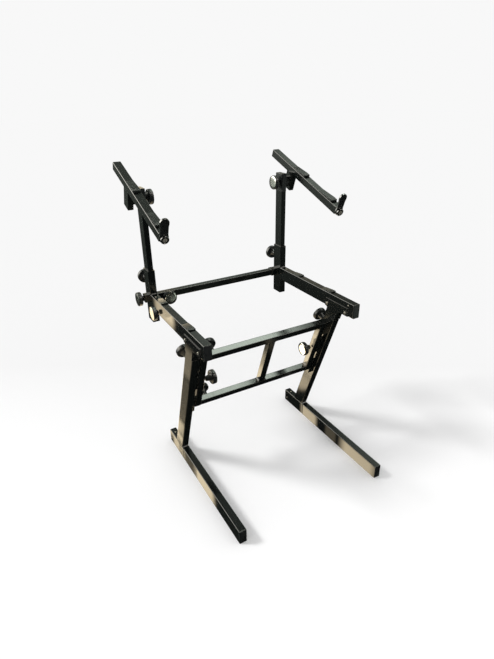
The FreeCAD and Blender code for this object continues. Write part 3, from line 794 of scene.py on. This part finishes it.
class STAND_OT_stops(bpy.types.Operator):
    """Builds the waisted stops and the capped screws that hold them"""
    bl_idname = "stand.stops"
    bl_label = "Stops"

    def execute(self, context):
        sizes = context.scene.stand_sizes
        tilt = Matrix.Rotation(tilt_angle(), 4, "X")
        low, high = turned_box("stop_left", tilt_angle())
        plate = self.plate(sizes, high - low)
        cap, drive = self.screw(high.y - low.y)
        for side in SIDES:
            place = Matrix.Translation(JOINTS[side + "_stop_turn"]["pos_m"]) @ tilt
            cradle = side + "_cradle"
            stop = side + "_stop"
            set_copy(plate, "stop_plate_" + side, place, "dipped vinyl", stop, "stop", "stop_" + side)
            set_copy(cap, "stop_cap_" + side, place, "dipped vinyl", cradle, "stop", "stop_screw_" + side)
            set_copy(drive, "stop_drive_" + side, place, "zinc plated steel", cradle, "screw")
        discard(plate, cap, drive)
        return {"FINISHED"}

    def plate(self, sizes, size):
        radius = size.x / 2
        rise = size.z - size.x
        plate = disc("stop_plate", 64, radius, location=(0, 0, 0), rotation=(math.pi / 2, 0, 0))
        pick(plate, lambda v: v.co.z > 0.02 * radius, "verts")
        bpy.ops.transform.translate(value=(0, 0, rise))
        for share in (0.1, 0.25, 0.5, 0.75, 0.9):
            slice_across((0, 0, share * rise), (0, 0, 1))
        narrow = 1 - sizes.stop_waist / radius
        pick(plate, lambda v: 0.2 * rise < v.co.z < 0.8 * rise, "verts")
        bpy.ops.transform.resize(value=(narrow, 1, 1), center_override=(0, 0, 0))
        bpy.ops.mesh.select_all(action="SELECT")
        bpy.ops.transform.translate(value=(0, size.y / 2, 0))
        bpy.ops.mesh.extrude_region_move(TRANSFORM_OT_translate={"value": (0, -size.y, 0)})
        close_up(plate)
        return bevel_edges(plate, sizes.stop_edge, 3, math.radians(60))

    def screw(self, thickness):
        gap, slot_height, slot_size = 0.3 * MM, 7.6 * MM, (1.8 * MM, 16 * MM, 1.6 * MM)
        base = thickness / 2 + gap
        cap = turned("stop_cap", outline(STOP_CAP, base), 56)
        drive = turned("stop_drive", outline(STOP_DRIVE, base), 40)
        cut_away(drive, block("stop_slot", (0, 0, base + slot_height), slot_size))
        for piece in (cap, drive):
            activate(piece)
            piece.rotation_euler = (math.pi / 2, 0, 0)
            bpy.ops.object.transform_apply()
        edit(drive)
        close_up(drive)
        return cap, drive


class STAND_OT_welds(bpy.types.Operator):
    """Builds the painted weld fillets in the ladder, at the legs and at the posts"""
    bl_idname = "stand.welds"
    bl_label = "Weld fillets"

    def execute(self, context):
        sizes = context.scene.stand_sizes
        fillet = self.fillet(sizes.weld_leg)
        self.ladder(fillet)
        for side in SIDES:
            self.leg_foot(sizes, side, fillet)
            self.post_foot(sizes, side, fillet)
        discard(fillet)
        return {"FINISHED"}

    def fillet(self, leg):
        """A hollow rippled fillet of unit run along Y, in the corner between +X and +Z."""
        fillet = block("fillet", (leg / 2, 0, leg / 2), (leg, 1, leg))
        pick(fillet, lambda e: all(v.co.x > 0.5 * leg and v.co.z > 0.5 * leg for v in e.verts), "edges")
        bpy.ops.mesh.bevel(offset=0.985 * leg, segments=6, profile=0.18, affect="EDGES")
        ripples = 12
        for i in range(1, ripples):
            slice_across((0, i / ripples - 0.5, 0), (0, 1, 0))
        pick(fillet, lambda v: round((v.co.y + 0.5) * ripples) % 2 == 0, "verts")
        bpy.ops.transform.resize(value=(0.93, 1, 0.93), center_override=(0, 0, 0))
        return close_up(fillet)

    def lay(self, fillet, name, corner, turn, run, scale, about, body):
        """Lays a fillet in a corner: turn is about its run, about puts the run along its edge."""
        size = Matrix.Diagonal((scale, run, scale, 1))
        place = Matrix.Translation(corner) @ about @ Matrix.Rotation(turn, 4, "Y") @ size
        set_copy(fillet, name, place, "satin powder coat", body, "outer_tube")

    def ladder(self, fillet):
        lean = lean_angle()
        about = Matrix.Rotation(lean, 4, "X")
        rung_low, rung_high = turned_box("rung", lean)
        post_x = turned_box("upright_right", lean)[0].x
        middle = (rung_low.y + rung_high.y) / 2
        rounded_edges = 5 * MM
        run = rung_high.y - rung_low.y - rounded_edges
        quarter = math.pi / 2
        corners = {"rung_low_right": (rung_high.x, rung_low.z, 0),
                   "rung_low_left": (rung_low.x, rung_low.z, -quarter),
                   "rung_high_left": (rung_low.x, rung_high.z, 2 * quarter),
                   "rung_high_right": (rung_high.x, rung_high.z, quarter),
                   "post_low": (post_x, rung_low.z, -quarter),
                   "post_high": (post_x, rung_high.z, 2 * quarter)}
        for name, (x, z, turn) in corners.items():
            corner = about @ Vector((x, middle, z))
            self.lay(fillet, "weld_" + name, corner, turn, run, 1, about, "right_frame")

    def leg_foot(self, sizes, side, fillet):
        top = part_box("foot_sleeve_" + side)[1].z
        just_above = top + 0.5 * MM
        ring = [point for point in points_of("leg_" + side) if point.z < just_above]
        x = sum(corner.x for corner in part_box("leg_" + side)) / 2
        front, rear = min(p.y for p in ring), max(p.y for p in ring)
        across = Matrix.Rotation(math.pi / 2, 4, "Z")
        for name, y, turn in (("rear", rear, 0), ("front", front, -math.pi / 2)):
            self.lay(fillet, "weld_leg_%s_%s" % (name, side), (x, y, top), turn, sizes.weld_run,
                     LEG_WELD_SHARE, across, side + "_frame")

    def post_foot(self, sizes, side, fillet):
        low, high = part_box("arm_" + side)
        x = sum(corner.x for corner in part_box("post_" + side)) / 2
        across = Matrix.Rotation(math.pi / 2, 4, "Z")
        for name, z, turn in (("top", high.z, -math.pi / 2), ("under", low.z, math.pi)):
            self.lay(fillet, "weld_post_%s_%s" % (name, side), (x, high.y, z), turn, sizes.weld_run,
                     POST_WELD_SHARE, across, side + "_deck")


class STAND_OT_stage(bpy.types.Operator):
    """Sets up the pale floor, the light and the camera"""
    bl_idname = "stand.stage"
    bl_label = "Stage"

    def execute(self, context):
        stage = context.scene.stand_stage
        context.scene.view_settings.view_transform = "Standard"
        self.floor(stage)
        self.light(context, stage)
        self.cards(stage)
        self.camera(context, stage)
        return {"FINISHED"}

    def floor(self, stage):
        deselect()
        bpy.ops.mesh.primitive_plane_add(size=60, location=(0, 0, 0))
        floor = rename(bpy.context.object, "floor")
        floor.visible_glossy = False
        tree, shader, place = new_material("pale studio floor with painted falloff")
        # Painted light falloff: the floor colour is brightest near the stand and darker further back and
        # further out
        from_camera = (0.513, 0.858, 0.0)
        depth = add_node(tree, "VectorMath", {0: place, 1: from_camera}, operation="DOT_PRODUCT")
        back = add_node(tree, "MapRange", {"Value": depth, "From Min": -0.2, "From Max": 0.62})
        away = add_node(tree, "VectorMath", {0: place}, operation="LENGTH")
        outer = add_node(tree, "MapRange", {"Value": away, "From Min": 1.5, "From Max": 4.0})
        far = add_node(tree, "Math", {0: back, 1: outer}, operation="MAXIMUM")
        tone = add_node(tree, "Mix", {"Factor": far, "A": opaque(stage.floor), "B": opaque(stage.far_floor_painted_shade)},
                        data_type="RGBA")
        feed(tree, shader, {"Base Color": tone, "Roughness": 1.0, "Specular IOR Level": 0.0})
        floor.data.materials.append(finish_of("pale studio floor with painted falloff"))

    def heading(self, azimuth, elevation):
        """A direction from degrees: azimuth from the rear towards the right, elevation from the floor up."""
        across = math.cos(math.radians(elevation))
        return Vector((math.sin(math.radians(azimuth)) * across, math.cos(math.radians(azimuth)) * across,
                       math.sin(math.radians(elevation))))

    def light(self, context, stage):
        """A white surround for soft light, a dim room with a few bright places for gloss, and a low sun."""
        world = bpy.data.worlds.new("studio")
        context.scene.world = world
        world.use_nodes = True
        world.cycles.sampling_method = "NONE"
        tree = world.node_tree
        tree.nodes.clear()
        ray = add_node(tree, "LightPath")
        toward = add_node(tree, "TexCoord").outputs["Generated"]
        apart = add_node(tree, "SeparateXYZ", {0: toward})
        height = add_node(tree, "MapRange", {"Value": apart.outputs["Z"], "From Min": -0.42, "From Max": 0.2,
                                             "To Min": 0.04, "To Max": 0.4})
        rear = add_node(tree, "MapRange", {"Value": apart.outputs["Y"], "From Min": -0.2, "From Max": 0.4,
                                           "To Min": 0.12, "To Max": 1.0})
        right = add_node(tree, "MapRange", {"Value": apart.outputs["X"], "From Min": 0.25, "From Max": 0.6,
                                            "To Min": 1.0, "To Max": 0.45})
        level = add_node(tree, "Math", {0: height, 1: rear}, operation="MULTIPLY")
        dim = add_node(tree, "Math", {0: level, 1: right}, operation="MULTIPLY")
        mirrored = add_node(tree, "Background", {"Color": opaque(stage.sky_card), "Strength": dim})
        for gleam in GLEAMS:
            spot = self.heading(gleam.azimuth, gleam.elevation)
            near = add_node(tree, "VectorMath", {0: toward, 1: spot}, operation="DOT_PRODUCT")
            edge, core = (math.cos(math.radians(angle)) for angle in (gleam.edge, gleam.core))
            glow = add_node(tree, "MapRange", {"Value": near, "From Min": edge, "From Max": core,
                                               "To Max": gleam.power}, interpolation_type="SMOOTHSTEP")
            tint = opaque(getattr(stage, gleam.tint))
            lamp = add_node(tree, "Background", {"Color": tint, "Strength": glow})
            mirrored = add_node(tree, "AddShader", {0: mirrored, 1: lamp})
        seen = add_node(tree, "Background", {"Color": opaque(stage.backdrop), "Strength": 1.0})
        soft = add_node(tree, "Background", {"Color": (1.0, 1.0, 1.0, 1.0), "Strength": 0.75})
        gloss = add_node(tree, "MixShader", {0: ray.outputs["Is Diffuse Ray"], 1: mirrored, 2: soft})
        both = add_node(tree, "MixShader", {0: ray.outputs["Is Camera Ray"], 1: gloss, 2: seen})
        add_node(tree, "OutputWorld", {"Surface": both})
        deselect()
        bpy.ops.object.light_add(type="SUN", location=(0, 0, 3))
        sun = rename(bpy.context.object, "low_sun")
        sun.rotation_euler = self.heading(SUN_AZIMUTH, SUN_ELEVATION).to_track_quat("Z", "Y").to_euler()
        sun.data.energy = SUN_POWER
        sun.data.angle = math.radians(SUN_SPREAD)
        sun.visible_glossy = False

    def card(self, name, size, place, tint, strength):
        """A soft-edged card that glows on one side, only in gloss, and never hides what is behind it."""
        deselect()
        bpy.ops.mesh.primitive_plane_add(size=1, location=(0, 0, 0))
        card = rename(bpy.context.object, name)
        card.scale = (*size, 1)
        bpy.ops.object.transform_apply(location=False, rotation=False, scale=True)
        card.matrix_world = place
        for ray in ("camera", "diffuse", "transmission", "volume_scatter", "shadow"):
            setattr(card, "visible_" + ray, False)
        tree, shader, _ = new_material(name)
        tree.nodes.remove(shader)
        inside = add_node(tree, "TexCoord").outputs["Generated"]
        apart = add_node(tree, "SeparateXYZ", {0: inside})
        back = add_node(tree, "NewGeometry").outputs["Backfacing"]
        power = add_node(tree, "MapRange", {"Value": back, "To Min": strength, "To Max": 0.0})
        for axis in ("X", "Y"):
            off = add_node(tree, "Math", {0: apart.outputs[axis], 1: 0.5}, operation="SUBTRACT")
            far = add_node(tree, "Math", {0: off}, operation="ABSOLUTE")
            fade = add_node(tree, "MapRange", {"Value": far, "From Min": 0.5, "From Max": 0.25},
                            interpolation_type="SMOOTHSTEP")
            power = add_node(tree, "Math", {0: power, 1: fade}, operation="MULTIPLY")
        glow = add_node(tree, "Emission", {"Color": opaque(tint), "Strength": power})
        clear = add_node(tree, "BsdfTransparent")
        both = add_node(tree, "AddShader", {0: glow, 1: clear})
        feed(tree, tree.nodes["Material Output"], {"Surface": both})
        material = finish_of(name)
        material.cycles.emission_sampling = "NONE"
        card.data.materials.append(material)

    def cards(self, stage):
        """Patches of warm light that only gloss shows: some lie on the floor, some stand beside a tube."""
        lying = {
            "card_right_leg": ((0.092, 0.288, -0.002), (0.19, 0.19), 4.6),
            "card_ladder_low": ((-0.160, 0.400, -0.002), (0.48, 0.40), 7.0),
            "card_ladder_high": ((-0.250, 0.640, -0.002), (0.34, 0.22), 7.0),
        }
        standing = {
            "card_left_foot_rear": ((-0.310, 0.130, 0.030), (0.16, 0.16), 2.4),
            "card_left_foot_seam": ((-0.310, 0.040, 0.010), (0.12, 0.18), 0.35),
            "card_left_foot_front": ((-0.310, -0.1135, 0.005), (0.12, 0.22), 2.9),
            "card_left_leg_foot": ((-0.310, 0.088, 0.115), (0.16, 0.20), 1.5),
            "card_left_leg_middle": ((-0.310, 0.015, 0.310), (0.36, 0.20), 0.35),
            "card_left_leg": ((-0.310, -0.048, 0.500), (0.18, 0.22), 0.8),
            "card_left_arm": ((-0.310, 0.150, 0.600), (0.10, 0.240), 2.2),
            "card_right_foot_rear": ((0.268, 0.0240, 0.008), (0.10, 0.145), 5.6),
            "card_right_foot_middle": ((0.268, -0.130, 0.008), (0.10, 0.090), 0.8),
            "card_right_foot_front": ((0.268, -0.2965, 0.008), (0.10, 0.25), 6.4),
            "card_corner_knob": ((-0.343, 0.193, 0.5936), (0.13, 0.13), 1.8),
            "card_upright_low": ((0.228, 0.0095, 0.319), (0.14, 0.12), 3.0),
            "card_upright_high": ((0.228, -0.043, 0.440), (0.14, 0.12), 3.5),
        }
        for name, (centre, size, strength) in lying.items():
            self.card(name, size, Matrix.Translation(centre), stage.warm_card, strength)
        for name, (centre, size, strength) in standing.items():
            upright = Matrix.Translation(centre) @ Matrix.Rotation(math.pi / 2, 4, "Y")
            self.card(name, size, upright, stage.warm_card, strength)

    def camera(self, context, stage):
        azimuth, elevation, roll = stage.camera_azimuth, stage.camera_elevation, stage.camera_roll
        back = Vector((math.sin(azimuth) * math.cos(elevation), -math.cos(azimuth) * math.cos(elevation),
                       math.sin(elevation)))
        right = Vector((0, 0, 1)).cross(back).normalized()
        frame_axes = Matrix((right, back.cross(right), back)).transposed()
        deselect()
        bpy.ops.object.camera_add(location=stage.camera_place)
        camera = rename(bpy.context.object, "camera")
        turn = frame_axes @ Matrix.Rotation(roll, 3, "Z")
        camera.matrix_world = Matrix.Translation(stage.camera_place) @ turn.to_4x4()
        camera.data.lens = stage.camera_lens
        camera.data.sensor_width = SENSOR
        camera.data.shift_x, camera.data.shift_y = stage.camera_shift
        camera.data.clip_end = 200
        context.scene.camera = camera


class STAND_PT_looks(bpy.types.Panel):
    bl_idname = "STAND_PT_looks"
    bl_label = "Keyboard stand"
    bl_space_type = "VIEW_3D"
    bl_region_type = "UI"
    bl_category = "Stand"

    def draw(self, context):
        for operator in OPERATORS:
            self.layout.operator(operator.bl_idname)
        for group in ("stand_finish", "stand_sizes", "stand_stage"):
            owner = getattr(context.scene, group)
            for name in owner.__annotations__:
                self.layout.prop(owner, name)


OPERATORS = (STAND_OT_finishes, STAND_OT_knobs, STAND_OT_pads, STAND_OT_fasteners, STAND_OT_seam_shade_bands,
             STAND_OT_stops, STAND_OT_welds, STAND_OT_stage)
CLASSES = (StandFinish, StandSizes, StandStage, *OPERATORS, STAND_PT_looks)


def register():
    for kind in CLASSES:
        bpy.utils.register_class(kind)
    bpy.types.Scene.stand_finish = bpy.props.PointerProperty(type=StandFinish)
    bpy.types.Scene.stand_sizes = bpy.props.PointerProperty(type=StandSizes)
    bpy.types.Scene.stand_stage = bpy.props.PointerProperty(type=StandStage)


def unregister():
    for name in ("stand_finish", "stand_sizes", "stand_stage"):
        delattr(bpy.types.Scene, name)
    for kind in reversed(CLASSES):
        bpy.utils.unregister_class(kind)


def main():
    register()
    bpy.ops.stand.finishes()
    bpy.ops.stand.knobs()
    bpy.ops.stand.pads()
    bpy.ops.stand.fasteners()
    bpy.ops.stand.gaskets()
    bpy.ops.stand.stops()
    bpy.ops.stand.welds()
    bpy.ops.stand.stage()


if __name__ == "__main__":
    main()
